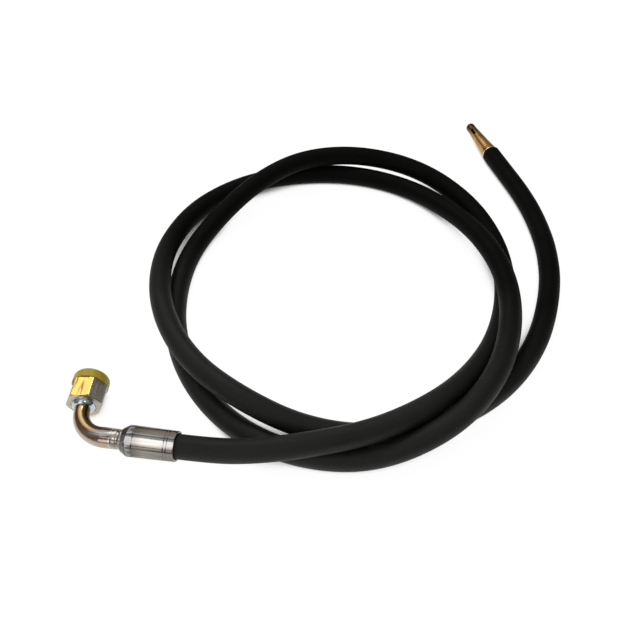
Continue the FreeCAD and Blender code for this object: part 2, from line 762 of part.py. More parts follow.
make_swivel_nut()
make_thread_cap()
make_cone_nipple()
make_ring("retaining_wire", wire_ring_radius, "wire_diameter / 2", wire_place, "wire_sweep")
make_ring("seat_o_ring", ring_radius, "ring_section / 2", "0 - " + ring_place)
make_elbow_tube()
make_hose_stem()
make_crimp_ferrule()
make_layers("ferrule", hose_cut, "ferrule_length", on_tail)
make_fitting()
doc.recompute()
make_hose()
press_flat(make_layers("nozzle", "0 - nozzle_grip", "0", on_nozzle)[-1], "0 - nozzle_grip", "nozzle_grip")
make_nozzle_body()
doc.recompute()

nodes = (
    "thread_cap", "swivel_nut", "retaining_wire", "seat_o_ring", "cone_nipple", "elbow_tube", "hose_stem",
    "crimp_ferrule", "liner_at_ferrule", "braid_at_ferrule", "cover_at_ferrule",
    "hose_lead", "hose_coil", "hose_tail",
    "liner_at_nozzle", "braid_at_nozzle", "cover_at_nozzle", "nozzle_body",
)
for thing in doc.Objects:
    if "Invalid" in thing.State or "Error" in thing.State:
        raise RuntimeError("%s failed: %s" % (thing.Name, thing.State))
os.makedirs("parts", exist_ok=True)
for node in nodes:
    piece = doc.getObject(node)
    shape = piece.Shape.copy()
    if shape.isNull() or not shape.isValid():
        raise RuntimeError("%s has no sound shape" % node)
    shape.Placement = piece.getGlobalPlacement()
    print("%-18s solids %d  volume %9.1f" % (node, len(shape.Solids), shape.Volume))
    shape.exportStep("parts/%s.step" % node)
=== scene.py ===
import math
import bmesh
import bpy
from mathutils import Matrix, Vector


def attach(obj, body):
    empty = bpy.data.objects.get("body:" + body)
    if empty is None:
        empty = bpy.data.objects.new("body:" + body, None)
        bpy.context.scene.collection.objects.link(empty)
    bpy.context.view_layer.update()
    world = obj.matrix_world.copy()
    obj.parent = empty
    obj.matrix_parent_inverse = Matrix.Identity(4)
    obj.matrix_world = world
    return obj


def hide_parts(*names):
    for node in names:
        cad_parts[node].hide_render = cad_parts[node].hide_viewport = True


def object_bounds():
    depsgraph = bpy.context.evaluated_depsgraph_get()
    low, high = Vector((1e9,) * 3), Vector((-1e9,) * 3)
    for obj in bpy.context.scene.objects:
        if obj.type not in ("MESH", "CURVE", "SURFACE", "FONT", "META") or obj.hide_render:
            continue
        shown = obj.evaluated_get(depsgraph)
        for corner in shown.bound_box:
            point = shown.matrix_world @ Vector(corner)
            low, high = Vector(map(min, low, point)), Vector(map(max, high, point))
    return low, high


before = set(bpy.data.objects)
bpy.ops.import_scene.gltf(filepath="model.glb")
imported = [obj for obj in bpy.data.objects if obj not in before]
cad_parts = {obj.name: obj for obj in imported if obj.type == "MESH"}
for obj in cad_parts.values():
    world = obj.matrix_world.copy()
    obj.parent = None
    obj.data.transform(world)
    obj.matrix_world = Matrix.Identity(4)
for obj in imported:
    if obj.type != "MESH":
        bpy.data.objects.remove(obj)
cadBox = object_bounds()
scene = bpy.context.scene
mm = 0.001
mergeGap = 1e-7
floorLevel = cadBox[0].z
print("frame:", len(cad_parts), "nodes, floor at", round(floorLevel, 5))


# places of the fitting, drawn level with the nut on +Y and then leaned about X onto its cap
fitting = {
    "nutLength": 21.0,
    "hubLength": 3.6,
    "elbowLead": 0.4,
    "elbowRadius": 24.0,
    "elbowAngle": 82.0,
    "elbowRun": 7.7,
    "stemHead": 7.6,
    "ferruleLength": 38.6,
    "lean": 5.9,
    "nutRoll": -1.5,
    "flatTurn": 12.0,
}


bendAngle = math.radians(fitting["elbowAngle"])


def fittingPlaces():
    start = Vector((0, -fitting["nutLength"] - fitting["hubLength"], 0))
    tangent = fitting["elbowRadius"] * math.tan(bendAngle / 2)
    corner = start - Vector((0, fitting["elbowLead"] + tangent, 0))
    way = Vector((math.sin(bendAngle), -math.cos(bendAngle), 0))
    tail = corner + way * (tangent + fitting["elbowRun"] + fitting["stemHead"])
    rear = tail + way * fitting["ferruleLength"]
    return start * mm, tail * mm, rear * mm, way


elbowStart, tailStart, hoseExit, tailWay = fittingPlaces()
bendCentre = elbowStart + Vector((fitting["elbowRadius"], -fitting["elbowLead"], 0)) * mm
lean = Matrix.Rotation(math.radians(-fitting["lean"]), 4, "X")
tailPlace = lean @ Matrix.Translation(tailStart) @ Matrix.Rotation(bendAngle - math.pi, 4, "Z")
nutPlace = lean @ Matrix.Rotation(math.radians(fitting["nutRoll"]), 4, "Y")
hoseExit = lean @ hoseExit
hoseWay = lean @ tailWay


# mesh helpers
def addObject(name, data):
    thing = bpy.data.objects.new(name, data)
    scene.collection.objects.link(thing)
    return thing


def meshFrom(shape, name):
    mesh = bpy.data.meshes.new(name)
    shape.to_mesh(mesh)
    shape.free()
    return mesh


def smoothMesh(mesh, sharp=34):
    mesh.polygons.foreach_set("use_smooth", [True] * len(mesh.polygons))
    mesh.set_sharp_from_angle(angle=math.radians(sharp))


def finishPiece(shape, name, place, material, body, slot, *nodes, sharp=34):
    # moves a shape to its place and makes it a piece that stands for the named CAD nodes
    bmesh.ops.transform(shape, matrix=place, verts=shape.verts[:])
    mesh = meshFrom(shape, name)
    mesh.materials.append(material)
    smoothMesh(mesh, sharp)
    piece = addObject(name, mesh)
    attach(piece, body)
    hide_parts(*nodes)
    print("piece", name, len(mesh.polygons), "faces")
    return piece


def halves(part, *names):
    return [part[name] / 2 for name in names]


def drawOutline(shape, outline, closed=True):
    # outline corners are (across the axis, along it) in millimetres
    corners = [shape.verts.new((across * mm, along * mm, 0)) for across, along in outline]
    pairs = list(zip(corners, corners[1:] + corners[:1]))
    for pair in pairs if closed else pairs[:-1]:
        shape.edges.new(pair)
    return corners


def arcPoints(middle, reach, last=90, steps=8):
    # outline corners round an arc that starts level with its middle
    turns = [math.radians(last / steps * step) for step in range(steps + 1)]
    return [(middle[0] + reach[0] * math.cos(turn), middle[1] + reach[1] * math.sin(turn))
            for turn in turns]


def mergeShape(shape):
    bmesh.ops.remove_doubles(shape, verts=shape.verts[:], dist=mergeGap)
    bmesh.ops.recalc_face_normals(shape, faces=shape.faces[:])


def closeShape(shape):
    bmesh.ops.holes_fill(shape, edges=[edge for edge in shape.edges if len(edge.link_faces) == 1])
    bmesh.ops.recalc_face_normals(shape, faces=shape.faces[:])


def turnedShape(outline, rounding=0.12, segments=96, longest=2.0, closed=True):
    # an outline turned about Y, with its corners rounded and its long edges cut up
    shape = bmesh.new()
    corners = drawOutline(shape, outline, closed)
    soft = [corner for corner in corners if corner.co.x > mergeGap and len(corner.link_edges) == 2]
    bmesh.ops.bevel(shape, geom=soft, offset=rounding * mm, segments=3, profile=0.5, affect="VERTICES",
                    clamp_overlap=True, material=-1)
    for edge in shape.edges[:]:
        cuts = int(edge.calc_length() / (longest * mm))
        if cuts:
            bmesh.ops.subdivide_edges(shape, edges=[edge], cuts=cuts)
    bmesh.ops.spin(shape, geom=shape.verts[:] + shape.edges[:], cent=(0, 0, 0), axis=(0, 1, 0),
                   dvec=(0, 0, 0), angle=math.tau, steps=segments, use_merge=True, use_duplicate=False)
    mergeShape(shape)
    return shape


def softLeast(first, second, blend):
    # the smaller of two numbers, with a rounded change from one to the other
    share = max(0.0, min(1.0, 0.5 + (second - first) / (2 * blend)))
    return second * (1 - share) + first * share - blend * share * (1 - share)


def pressFlats(shape, count, across, blend, low, high, first=90.0):
    # presses flats with rounded corners into a turned shape between two places along Y
    sector = math.tau / count
    bore = across * mm * 0.47  # what lies nearer the axis is left round
    for vertex in shape.verts:
        reach = math.hypot(vertex.co.x, vertex.co.z)
        if reach < bore or not low * mm <= vertex.co.y <= high * mm:
            continue
        angle = math.atan2(vertex.co.z, vertex.co.x) - math.radians(first)
        off = (angle + sector / 2) % sector - sector / 2
        flat = across / 2 * mm / math.cos(off)
        pressed = softLeast(reach, flat, blend * mm)
        vertex.co.x *= pressed / reach
        vertex.co.z *= pressed / reach


# hose
hose = {
    "diameter": 17.5,
    "exitRun": 25.7,
    "low": 8.25,
    "leadOver": ((124.5, -61.6, 23.2), (157.1, -60.7, 28.4)),
    "coilCentre": (182.1, 97.3),
    "firstAngle": -80,
    "stationsPerTurn": 18,
    # the coil's radii, and the heights of the hose's centre above the floor, half a turn in each row
    "radii": (
        147.5, 142, 138, 141, 148, 159, 171, 176.5, 168,
        154.5, 139.5, 134, 132.5, 130.5, 134, 140.5, 149, 155.5,
        160.5, 162, 155, 147.5, 143, 139.5, 145, 153, 155,
        156.5, 162, 162, 153, 143.5, 138.5, 136, 134, 135,
        141, 148.5, 160.5, 171.5,
    ),
    "heights": (
        28, 28, 16, 8.25, 8.25, 8.25, 10, 15.5, 23.5,
        28.4, 25, 13.5, 8.25, 8.25, 8.25, 8.25, 8.25, 8.25,
        11, 27.2, 27.5, 27.2, 27, 24.5, 14, 8.25, 8.25,
        8.25, 8.25, 9.5, 14.5, 23, 27.5, 27, 25, 12.5,
        8.25, 8.25, 8.25, 8.25,
    ),
    "tail": ((369.6, 96.3), (377.4, 144.3), (375.6, 188.3), (369, 224.2), (357, 264.3)),
    "nozzleGrip": 24.0,
    "stepsPerRun": 22,
    "sides": 44,
    "rimRound": 2.2,
    "rimSteps": 6,
    "rimInside": 5.2,
    "rimGap": 0.5,
    "rimReach": 50.0,
}


def routePoints():
    up = Vector((0, 0, floorLevel))
    points = [hoseExit, hoseExit + hoseWay * hose["exitRun"] * mm]
    points += [Vector(spot) * mm + up for spot in hose["leadOver"]]
    centre = Vector((*hose["coilCentre"], 0))
    step = 360 / hose["stationsPerTurn"]
    for index, (radius, height) in enumerate(zip(hose["radii"], hose["heights"])):
        angle = math.radians(hose["firstAngle"] + step * index)
        reach = radius / math.cos(math.radians(step / 2))
        spot = centre + Vector((reach * math.cos(angle), reach * math.sin(angle), height))
        points.append(spot * mm + up)
    tail = [Vector((*spot, hose["low"])) * mm + up for spot in hose["tail"]]
    end = tail[-1] + (tail[-1] - tail[-2]).normalized() * hose["nozzleGrip"] * mm
    return points + tail + [end]


def splineLine(points):
    curve = bpy.data.curves.new("hoseRoute", "CURVE")
    curve.dimensions = "3D"
    spline = curve.splines.new("NURBS")
    spline.points.add(len(points) - 1)
    for slot, point in zip(spline.points, points):
        slot.co = (*point, 1)
    spline.order_u = 3
    spline.use_endpoint_u = True
    spline.resolution_u = hose["stepsPerRun"]
    guide = addObject("hoseRoute", curve)
    bpy.context.view_layer.update()
    line = [vertex.co.copy() for vertex in bpy.data.meshes.new_from_object(guide).vertices]
    bpy.data.objects.remove(guide)
    return line


hoseLine = splineLine(routePoints())
hoseLength = sum((after - before).length for before, after in zip(hoseLine, hoseLine[1:]))
nozzleWay = (hoseLine[-1] - hoseLine[-2]).normalized()
nozzleTurn = Vector((0, 1, 0)).rotation_difference(nozzleWay).to_matrix().to_4x4()
nozzlePlace = Matrix.Translation(hoseLine[-1]) @ nozzleTurn
print("hose line:", len(hoseLine), "points,", round(hoseLength, 4), "m")


def hoseRings():
    # each ring is its centre and its radius: along the route, then round the rim at the far end
    radius = hose["diameter"] / 2 * mm
    rim = hose["rimRound"] * mm
    last = hoseLine[-1] - nozzleWay * rim
    rings = []
    for spot in hoseLine:
        gap = last - spot
        if gap.dot(nozzleWay) > hose["rimGap"] * mm or gap.length > hose["rimReach"] * mm:
            rings.append((spot, radius))
    rings.append((last, radius))
    for step in range(1, hose["rimSteps"] + 1):
        angle = math.radians(90 / hose["rimSteps"] * step)
        rings.append((last + nozzleWay * rim * math.sin(angle), radius - rim * (1 - math.cos(angle))))
    rings.append((last + nozzleWay * rim, hose["rimInside"] * mm))
    return rings


def makeHose():
    rings = hoseRings()
    sides, rows = hose["sides"], len(rings) - 1
    shape = bmesh.new()
    uv = shape.loops.layers.uv.new("UVMap")
    bmesh.ops.create_grid(shape, x_segments=sides, y_segments=rows, size=1.0)
    way = hoseWay.copy()
    across = Vector((0, 0, 1)).cross(way).normalized()
    frames = []
    gone = [0.0]
    for index, (centre, reach) in enumerate(rings):
        step = rings[min(index + 1, rows)][0] - rings[max(index - 1, 0)][0]
        if 0 < index < rows and step.length > mergeGap:
            ahead = step.normalized()
            across.rotate(way.rotation_difference(ahead))
            way = ahead
        if index:
            gone.append(gone[-1] + (centre - rings[index - 1][0]).length)
        frames.append((centre, across * reach, way.cross(across) * reach))
    place = {vertex: (round((vertex.co.x + 1) / 2 * sides), round((vertex.co.y + 1) / 2 * rows))
             for vertex in shape.verts}
    for face in shape.faces:
        for corner in face.loops:
            column, row = place[corner.vert]
            corner[uv].uv = (column / sides, gone[row])
    for vertex, (column, row) in place.items():
        angle = math.tau * column / sides
        centre, first, second = frames[row]
        vertex.co = centre + first * math.cos(angle) + second * math.sin(angle)
        # a strand that lies on the floor is pressed flat there
        vertex.co.z = max(vertex.co.z, floorLevel)
    seam = [vertex for vertex, (column, row) in place.items() if column in (0, sides)]
    bmesh.ops.remove_doubles(shape, verts=seam, dist=mergeGap)
    closeShape(shape)
    return finishPiece(shape, "pressure_hose", Matrix.Identity(4), rubber, "root", "cover_rubber",
                       "hose_lead", "hose_coil", "hose_tail", "cover_at_nozzle", sharp=60)


# nut
swivelNut = {
    "acrossFlats": 24.0,
    "flats": 6,
    "cornerRound": 0.22,
    "cornerDiameter": 27.3,
    "collar": 23.8,
    "collarLength": 4.0,
    "bore": 20.1,
    "mouthChamfer": (0.3, 0.5),
    "threadLength": 10.0,
    "relief": 20.4,
    "reliefFront": 0.5,
    "reliefBack": 3.9,
    "rearBore": 18.6,
    "chamfer": 1.1,
    "chamferAngle": 30,
    "threadCrest": 18.4,
    "threadPitch": 1.5,
    "threadFoot": 1.3,
    "threadTop": (0.52, 0.78),
    "threadStart": 0.4,
    "threadTurns": 5.9,
    "stepsPerTurn": 60,
}


def makeThread(nut):
    # the ridge is one profile wound forwards from the rear end of the thread
    thread = bmesh.new()
    crest = nut["threadCrest"] / 2
    reach = nut["bore"] / 2 + 0.02  # its foot is just inside the wall
    start = -nut["threadLength"] - nut["threadStart"]
    low, high = nut["threadTop"]
    drawOutline(thread, [(reach, start), (reach, start + nut["threadFoot"]), (crest, start + high),
                         (crest, start + low)])
    turns = nut["threadTurns"]
    steps = int(turns * nut["stepsPerTurn"])
    bmesh.ops.spin(thread, geom=thread.verts[:] + thread.edges[:], cent=(0, 0, 0), axis=(0, 1, 0),
                   dvec=(0, nut["threadPitch"] * turns / steps * mm, 0), angle=math.tau * turns,
                   steps=steps)
    closeShape(thread)
    return meshFrom(thread, "threadRidge")


def makeNut():
    nut = swivelNut
    rim, rear, collar, bore, relief = halves(nut, "cornerDiameter", "rearBore", "collar", "bore", "relief")
    slope = nut["chamfer"] * math.tan(math.radians(nut["chamferAngle"]))
    front, back = -nut["collarLength"], -fitting["nutLength"]
    reliefFront = -nut["threadLength"] - nut["reliefFront"]
    reliefBack = -nut["threadLength"] - nut["reliefBack"]
    wider, deep = nut["mouthChamfer"]
    outline = [
        (bore + wider, 0), (collar, 0), (collar, front), (rim - nut["chamfer"], front),
        (rim, front - slope), (rim, back + slope), (rim - nut["chamfer"], back), (rear, back),
        (rear, reliefBack), (relief, reliefBack), (relief, reliefFront), (bore, reliefFront), (bore, -deep),
    ]
    shape = turnedShape(outline, rounding=0.2, segments=144, longest=0.5)
    pressFlats(shape, nut["flats"], nut["acrossFlats"], nut["cornerRound"], back - 0.1, front + 0.1)
    shape.from_mesh(makeThread(nut))
    return finishPiece(shape, "hex_swivel_nut", nutPlace, gold, "nut", "passivated_steel", "swivel_nut")


# cap
threadCap = {
    "diameter": 26.6,
    "inside": 24.2,
    "innerFace": 3.4,
    "innerChamfer": 1.2,
    "front": 4.6,
    "rear": -3.8,
    "edge": 3.2,
    "lines": (-2.7, -1.5, -0.3, 0.9),
    "lineDepth": 0.12,
    "lineWidth": 0.4,
    "dishRadius": 8.6,
    "dishDepth": 0.4,
    "dishEdge": 0.4,
}


def makeCap():
    cap = threadCap
    rim, inside, groove = halves(cap, "diameter", "inside", "lineWidth")
    edge, front, face, chamfer = cap["edge"], cap["front"], cap["innerFace"], cap["innerChamfer"]
    dish = front - cap["dishDepth"]
    outline = [
        (0, face), (inside - chamfer, face), (inside, face - chamfer), (inside, cap["rear"]),
        (rim, cap["rear"]),
    ]
    for line in cap["lines"]:
        outline += [(rim, line - groove), (rim - cap["lineDepth"], line), (rim, line + groove)]
    outline += arcPoints((rim - edge, front - edge), (edge, edge))
    outline += [(cap["dishRadius"], front), (cap["dishRadius"] - cap["dishEdge"], dish), (0, dish)]
    shape = turnedShape(outline, rounding=0.1, segments=128, longest=1.2, closed=False)
    return finishPiece(shape, "push_on_cap", nutPlace, capYellow, "cap", "cap_plastic", "thread_cap")


# cone nipple, its hub and the bent tube
coneNipple = {
    "bore": 8.0,
    "coneFront": 10.85,
    "coneSmall": 13.2,
    "coneLength": 4.0,
    "coneSlope": 12,
    "swivelRadius": 9.1,
    "shoulder": 5.6,
    "faceEdge": 0.15,
    "hub": 17.2,
    "tube": 13.0,
    "tubeAtHub": 11.2,
    "tubeAtStem": 14.6,
    "sides": 64,
    "bendSteps": 64,
    "leadSteps": 2,
    "runSteps": 6,
}


def makeNipple():
    cone = coneNipple
    face = -fitting["nutLength"]
    bore, hub, tube, small = halves(cone, "bore", "hub", "tubeAtHub", "coneSmall")
    swivel, front = cone["swivelRadius"], -cone["coneFront"]
    large = small + cone["coneLength"] * math.tan(math.radians(cone["coneSlope"]))
    outline = [(bore, front), (small, front), (large, front - cone["coneLength"]),
               (swivel, face + cone["shoulder"]), (swivel, face + cone["faceEdge"])]
    # the hub is a dome that runs out into the tube
    outline += arcPoints((tube, face), (hub - tube, -fitting["hubLength"]))
    outline += [(bore, face - fitting["hubLength"])]
    shape = turnedShape(outline, rounding=0.1, longest=1.5)
    return finishPiece(shape, "nipple_hub", lean, plated["hub"], "root", "zinc_steel", "cone_nipple")


def widenTube(shape):
    # the tube is narrow at the hub and widens round its bend
    bore = coneNipple["bore"] * 0.6 * mm  # what lies nearer the middle keeps its width
    for vertex in shape.verts:
        off = vertex.co - bendCentre
        turned = max(0.0, min(bendAngle, math.atan2(-off.y, -off.x)))
        middle = bendCentre - Vector((math.cos(turned), math.sin(turned), 0)) * fitting["elbowRadius"] * mm
        # past the ends of the bend the tube's middle runs on straight
        if turned == 0:
            middle.y = vertex.co.y
        elif turned == bendAngle:
            middle += tailWay * (vertex.co - middle).dot(tailWay)
        share = (turned / bendAngle) ** 2
        width = coneNipple["tubeAtHub"] * (1 - share) + coneNipple["tubeAtStem"] * share
        if (vertex.co - middle).length > bore:
            vertex.co = middle + (vertex.co - middle) * width / coneNipple["tube"]


def ofKind(parts, kind):
    return [part for part in parts if isinstance(part, kind)]


def drawOut(shape, edges, way, length, steps):
    # extrudes the edges along the way in equal steps and gives back the last ones
    for _ in range(steps):
        grown = bmesh.ops.extrude_edge_only(shape, edges=edges)["geom"]
        edges = ofKind(grown, bmesh.types.BMEdge)
        ring = ofKind(grown, bmesh.types.BMVert)
        bmesh.ops.translate(shape, vec=way * (length / steps * mm), verts=ring)
    return edges


def makeElbow():
    part = coneNipple
    shape = bmesh.new()
    face = Matrix.Translation(elbowStart) @ Matrix.Rotation(math.radians(90), 4, "X")
    for width in (part["tube"], part["bore"]):
        bmesh.ops.create_circle(shape, segments=part["sides"], radius=width / 2 * mm, matrix=face)
    start = shape.edges[:]
    edges = drawOut(shape, start, Vector((0, -1, 0)), fitting["elbowLead"], part["leadSteps"])
    grown = bmesh.ops.spin(shape, geom=edges, cent=bendCentre, axis=(0, 0, 1), dvec=(0, 0, 0),
                           angle=bendAngle, steps=part["bendSteps"])["geom_last"]
    edges = ofKind(grown, bmesh.types.BMEdge)
    edges = drawOut(shape, edges, tailWay, fitting["elbowRun"], part["runSteps"])
    bmesh.ops.bridge_loops(shape, edges=start)
    bmesh.ops.bridge_loops(shape, edges=edges)
    mergeShape(shape)
    widenTube(shape)
    return finishPiece(shape, "bent_tube", lean, plated["tube"], "root", "zinc_steel", "elbow_tube")


# stem
hoseStem = {
    "boss": 14.4,
    "groove": 13.2,
    "grooveWidth": 1.4,
    "collar": 15.6,
    "collarWidth": 2.6,
    "flare": 0.9,
    "flareEnd": 0.4,
    "lock": 11.0,
    "wallFront": 3.4,
    "stem": 9.5,
    "bore": 7.0,
    "grip": 31.0,
    "pitch": 4.2,
    "slopeShare": 0.6,
    "serrations": 6,
    "depth": 0.45,
    "chamfer": 0.6,
}


def makeStem():
    stem = hoseStem
    boss, groove, collar = halves(stem, "boss", "groove", "collar")
    lock, outside, bore = halves(stem, "lock", "stem", "bore")
    head, wall, width = -fitting["stemHead"], stem["wallFront"], stem["collarWidth"]
    back = width + stem["grooveWidth"]
    outline = [
        (boss, head), (boss, -back), (groove, -back), (groove, -width), (collar - stem["flare"], -width),
        (collar, -width * stem["flareEnd"]), (collar, 0), (lock, 0), (lock, wall), (outside, wall),
    ]
    for step in range(1, stem["serrations"] + 1):
        tooth = wall + step * stem["pitch"]
        outline += [(outside, tooth), (outside - stem["depth"], tooth),
                    (outside, tooth + stem["pitch"] * stem["slopeShare"])]
    end = wall + stem["grip"]
    outline += [(outside, end - stem["chamfer"]), (outside - stem["chamfer"], end), (bore, end),
                (bore, head)]
    shape = turnedShape(outline, longest=2.5)
    return finishPiece(shape, "serrated_stem", tailPlace, plated["stem"], "root", "zinc_steel", "hose_stem")


# ferrule
ferrule = {
    "corner": 23.0,
    "acrossFlats": 22.1,
    "flats": 8,
    "cornerRound": 0.12,
    "nose": 17.6,
    "noseLength": 4.2,
    "edge": 0.5,
    "lock": 11.1,
    "wallFront": 3.4,
    "cavity": 17.6,
    "mouth": 18.6,
    "mouthLength": 2.4,
    "lines": (9.4, 31.6, 33.6),
    "lineWidth": 0.8,
    "lineDepth": 0.3,
    "taper": 0.05,
}


def makeFerrule():
    part = ferrule
    length = fitting["ferruleLength"]
    corner, nose, lock, mouth = halves(part, "corner", "nose", "lock", "mouth")
    cavity, groove = halves(part, "cavity", "lineWidth")
    edge, shoulder, wall = part["edge"], part["noseLength"], part["wallFront"]
    outline = [(lock, 0), (nose, 0), (corner - edge, shoulder - edge), (corner, shoulder + edge)]
    for line in part["lines"]:
        outline += [(corner, line - groove), (corner - part["lineDepth"], line), (corner, line + groove)]
    outline += [(corner, length - edge), (corner - edge, length), (mouth, length),
                (cavity, length - part["mouthLength"]), (cavity, wall), (lock, wall)]
    shape = turnedShape(outline, rounding=0.14, segments=192, longest=0.9)
    pressFlats(shape, part["flats"], part["acrossFlats"], part["cornerRound"], 1.0, length + 0.1,
               first=90 + fitting["flatTurn"])
    # the crimp draws the outside in a little towards the hose
    outside = (mouth + edge) * mm
    for vertex in shape.verts:
        if math.hypot(vertex.co.x, vertex.co.z) > outside:
            drawn = 1 - part["taper"] * vertex.co.y / (length * mm)
            vertex.co.x *= drawn
            vertex.co.z *= drawn
    return finishPiece(shape, "crimped_ferrule", tailPlace, plated["ferrule"], "root", "zinc_steel",
                       "crimp_ferrule")


# nozzle
nozzle = {
    "length": 51.5,
    "base": 15.8,
    "flange": 1.0,
    "step": 0.35,
    "neck": 9.6,
    "noseLength": 11.0,
    "nose": 9.3,
    "noseStep": 0.6,
    "noseArc": (70, 7),
    "bore": 4.6,
    "boreEnd": 1.0,
    "orifice": 2.2,
    "rings": 4,
    "ringPitch": 1.1,
    "ringDepth": 0.25,
    "ringHalf": 0.35,
    "tail": 9.5,
    "tailEnd": -22.5,
    "tailChamfer": (0.6, 1.2),
    "ports": 3,
    "portWidth": 2.6,
    "portLength": 10.0,
    "portFromTip": 11.0,
    "portRoll": 42.0,
    "portSides": 24,
}


def makeNozzle():
    part = nozzle
    base, neck, nose, tail, bore, orifice = halves(part, "base", "neck", "nose", "tail", "bore", "orifice")
    tip, flange, tailEnd, foot = part["length"], part["flange"], part["tailEnd"], base - part["step"]
    shoulder = tip - part["noseLength"]
    inset, slope = part["tailChamfer"]
    outline = [(bore, tailEnd), (tail - inset, tailEnd), (tail, tailEnd + slope), (tail, 0), (base, 0),
               (base, flange), (foot, flange)]
    # scribed rings run up the cone from its foot
    for step in range(1, part["rings"] + 1):
        rise = step * part["ringPitch"]
        share = rise / (shoulder - flange)
        cone = foot * (1 - share) + neck * share
        outline += [(cone, flange + rise - part["ringHalf"]), (cone - part["ringDepth"], flange + rise),
                    (cone - 0.02, flange + rise + part["ringHalf"])]
    outline += [(neck, shoulder), (nose, shoulder + part["noseStep"])]
    outline += arcPoints((0, tip - nose), (nose, nose), *part["noseArc"])
    outline += [(orifice, tip), (orifice, tip - part["nose"]), (bore, tip - part["nose"] - part["boreEnd"])]
    shape = turnedShape(outline, rounding=0.08, longest=1.5)
    piece = finishPiece(shape, "brass_nozzle", nozzlePlace, brass, "root", "nozzle_brass", "nozzle_body")
    cutPorts(piece, base)
    return piece


def cutPorts(piece, depth):
    # each port is a round-ended slot, cut from outside through the wall into the bore
    part = nozzle
    cutter = bmesh.new()
    middle = part["length"] - part["portFromTip"] - part["portLength"] / 2
    straight = part["portLength"] - part["portWidth"]
    width = part["portWidth"] / 2 * mm
    for index in range(part["ports"]):
        slot = bmesh.ops.create_cone(cutter, cap_ends=True, segments=part["portSides"], radius1=width,
                                     radius2=width, depth=depth * 2 * mm)["verts"]
        for vertex in slot:
            vertex.co.y += math.copysign(straight / 2 * mm, vertex.co.y) + middle * mm
            vertex.co.z += depth * mm
        turn = Matrix.Rotation(math.tau / part["ports"] * index - math.radians(part["portRoll"]), 4, "Y")
        bmesh.ops.transform(cutter, matrix=turn, verts=slot)
    bmesh.ops.transform(cutter, matrix=nozzlePlace, verts=cutter.verts[:])
    bmesh.ops.recalc_face_normals(cutter, faces=cutter.faces[:])
    tool = addObject("portCutter", meshFrom(cutter, "portCutter"))
    boolean = piece.modifiers.new("ports", "BOOLEAN")
    boolean.object = tool
    boolean.solver = "EXACT"
    bpy.context.view_layer.update()
    piece.data = bpy.data.meshes.new_from_object(piece.evaluated_get(bpy.context.evaluated_depsgraph_get()))
    piece.modifiers.clear()
    bpy.data.objects.remove(tool)
    smoothMesh(piece.data)


# shader helpers
def feed(node, inputs):
    # links what is a socket, and sets what is a plain value on the node's own socket
    for key, value in inputs.items():
        if isinstance(value, bpy.types.NodeSocket):
            node.id_data.links.new(value, node.inputs[key])
        else:
            node.inputs[key].default_value = value
    return node


def addNode(tree, kind, inputs=None, **settings):
    node = tree.nodes.new("ShaderNode" + kind)
    for key, value in settings.items():
        setattr(node, key, value)
    return feed(node, inputs or {})


def emptyTree(owner):
    owner.use_nodes = True
    owner.node_tree.nodes.clear()
    return owner.node_tree


def newMaterial(name, metallic=0):
    material = bpy.data.materials.new(name)
    tree = emptyTree(material)
    shader = addNode(tree, "BsdfPrincipled", {"Metallic": metallic})
    addNode(tree, "OutputMaterial", {"Surface": shader.outputs["BSDF"]})
    return material, tree, shader


def math2(tree, operation, first, second=0):
    return addNode(tree, "Math", {0: first, 1: second}, operation=operation).outputs[0]


def times(tree, first, second):
    return math2(tree, "MULTIPLY", first, second)


def near(tree, value, target, reach):
    # 1 where the value is within reach of the target, else 0
    return addNode(tree, "Math", {0: value, 1: target, 2: reach}, operation="COMPARE").outputs[0]


def spread(tree, value, start=0, end=1, low=0, high=1):
    # the value's way from start to end, drawn out from low to high and held between them
    return addNode(tree, "MapRange", {
        "Value": value, "From Min": start, "From Max": end, "To Min": low, "To Max": high,
    }).outputs["Result"]


def between(tree, mask, span):
    return spread(tree, mask, low=span[0], high=span[1])


def axes(tree, place):
    return addNode(tree, "SeparateXYZ", {"Vector": place}).outputs


def distance(tree, first, second):
    flat = addNode(tree, "CombineXYZ", {"X": first, "Y": second}).outputs[0]
    return addNode(tree, "VectorMath", {0: flat}, operation="LENGTH").outputs["Value"]


def noise(tree, place, scale, detail, roughness=0.5):
    return addNode(tree, "TexNoise", {
        "Vector": place, "Scale": scale, "Detail": detail, "Roughness": roughness,
    }).outputs["Fac"]


def bump(tree, height, depth, strength=0.5, **others):
    return addNode(tree, "Bump", {
        "Height": height, "Distance": depth, "Strength": strength, **others,
    }).outputs["Normal"]


def ramp(tree, factor, stops, interpolation="LINEAR"):
    node = addNode(tree, "ValToRGB", {"Fac": factor})
    node.color_ramp.interpolation = interpolation
    while len(node.color_ramp.elements) < len(stops):
        node.color_ramp.elements.new(0.5)
    for element, (place, colour) in zip(node.color_ramp.elements, stops):
        element.position = place
        element.color = (*colour, 1)
    return node.outputs["Color"]


def grey(value):
    return (value, value, value)


def mixColour(tree, factor, first, second, blend="MIX"):
    node = addNode(tree, "Mix", {0: factor}, data_type="RGBA", blend_type=blend)
    for index, colour in ((6, first), (7, second)):
        feed(node, {index: colour if isinstance(colour, bpy.types.NodeSocket) else (*colour, 1)})
    return node.outputs[2]


def newGroup(name, values, results=("Mask",)):
    # a group reads a place and its named values, and puts out masks
    group = bpy.data.node_groups.new(name, "ShaderNodeTree")
    group.interface.new_socket("Place", in_out="INPUT", socket_type="NodeSocketVector")
    for label, value in values.items():
        socket = group.interface.new_socket(label, in_out="INPUT", socket_type="NodeSocketFloat")
        socket.default_value = value
    for label in results:
        group.interface.new_socket(label, in_out="OUTPUT", socket_type="NodeSocketFloat")
    return group, group.nodes.new("NodeGroupInput").outputs, group.nodes.new("NodeGroupOutput")


